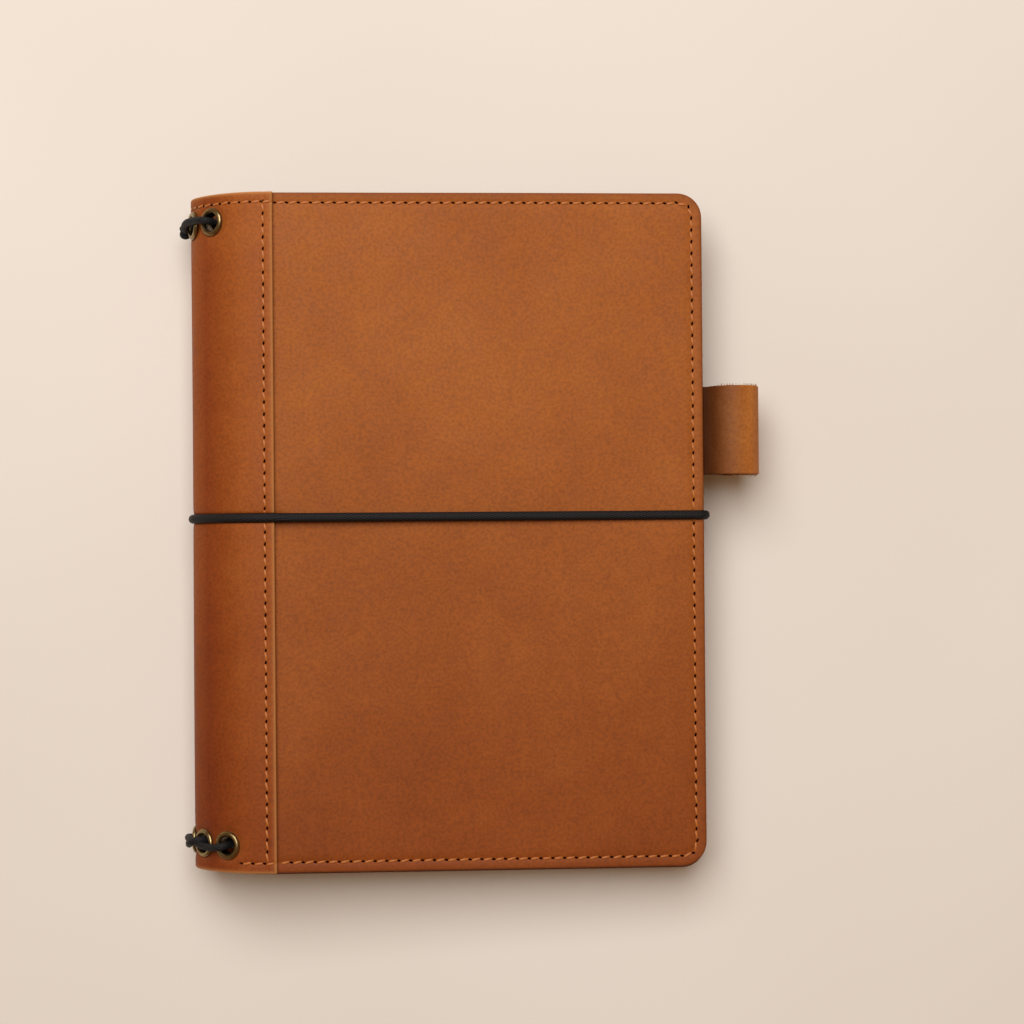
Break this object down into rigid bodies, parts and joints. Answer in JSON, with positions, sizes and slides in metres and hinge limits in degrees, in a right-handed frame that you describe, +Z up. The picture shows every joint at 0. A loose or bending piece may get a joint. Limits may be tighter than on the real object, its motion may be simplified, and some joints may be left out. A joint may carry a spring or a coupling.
{
  "type": "leather notebook cover",
  "caption": "Closed leather cover for thin booklets, laced with elastic through spine eyelets, with a pen loop on the fore-edge and an elastic cord around it.",
  "frame": {"origin": "middle of the closed cover's underside, on the table it lies on", "axes": "+X from the spine to the fore-edge and its pen loop, +Y to the head, +Z up through the front cover"},
  "size_m": [0.171, 0.1986, 0.0307],
  "materials": {
    "leather": "waxed, satin",
    "lining_leather": "matte",
    "thread": "waxed",
    "brass": "aged",
    "lacing_elastic": "woven, matte",
    "closure_elastic": "woven, matte",
    "card": "uncoated card",
    "paper": "uncoated paper",
    "steel_wire": "bright"
  },
  "bodies": {
    "back_cover": {"back_edge_stitching": "thread", "back_lining": "lining_leather", "back_panel": "leather", "back_pocket": "lining_leather", "back_seam_stitching": "thread", "booklet_1_back_card": "card", "booklet_1_back_leaves": "paper", "booklet_1_staples": "steel_wire", "booklet_2_card": "card", "booklet_2_leaves": "paper", "booklet_2_staples": "steel_wire", "booklet_3_card": "card", "booklet_3_leaves": "paper", "booklet_3_staples": "steel_wire", "eyelet_foot_1": "brass", "eyelet_foot_2": "brass", "eyelet_foot_3": "brass", "eyelet_head_1": "brass", "eyelet_head_2": "brass", "eyelet_head_3": "brass", "lace_foot": "lacing_elastic", "lace_head": "lacing_elastic", "lace_knot_foot": "lacing_elastic", "lace_knot_head": "lacing_elastic", "lace_strand_1": "lacing_elastic", "lace_strand_2": "lacing_elastic", "lace_strand_3": "lacing_elastic", "spine_lining": "lining_leather", "spine_stitching": "thread", "spine_strip": "leather"},
    "front_cover": {"front_edge_stitching": "thread", "front_lining": "lining_leather", "front_panel": "leather", "front_pocket": "lining_leather", "front_seam_stitching": "thread", "front_spine_flap": "leather", "pen_loop": "leather"},
    "booklet_1_upper": {"booklet_1_front_card": "card", "booklet_1_front_leaves": "paper"},
    "closure_elastic": {"closure_elastic": "closure_elastic"}
  },
  "joints": [
    {"name": "front_cover_open", "type": "hinge", "parent": "back_cover", "child": "front_cover", "pos_m": [-0.06466, 0.0003, 0.02997], "axis": [0, -1, 0], "range_deg": [0, 186]},
    {"name": "booklet_1_open", "type": "hinge", "parent": "back_cover", "child": "booklet_1_upper", "pos_m": [-0.06638, 0.0003, 0.02146], "axis": [0, -1, 0], "range_deg": [0, 24.5]},
    {"name": "closure_elastic_off", "type": "slide", "parent": "back_cover", "child": "closure_elastic", "axis": [0, -1, 0], "range_m": [0, 0.1105], "deforming": ["closure_elastic"]}
  ],
  "couplings": [
    {"joint": "booklet_1_open", "follows": "front_cover_open", "ratio": 0.13},
    {"joint": "closure_elastic_off", "follows": "front_cover_open", "m_per_rad": 0.033885}
  ]
}
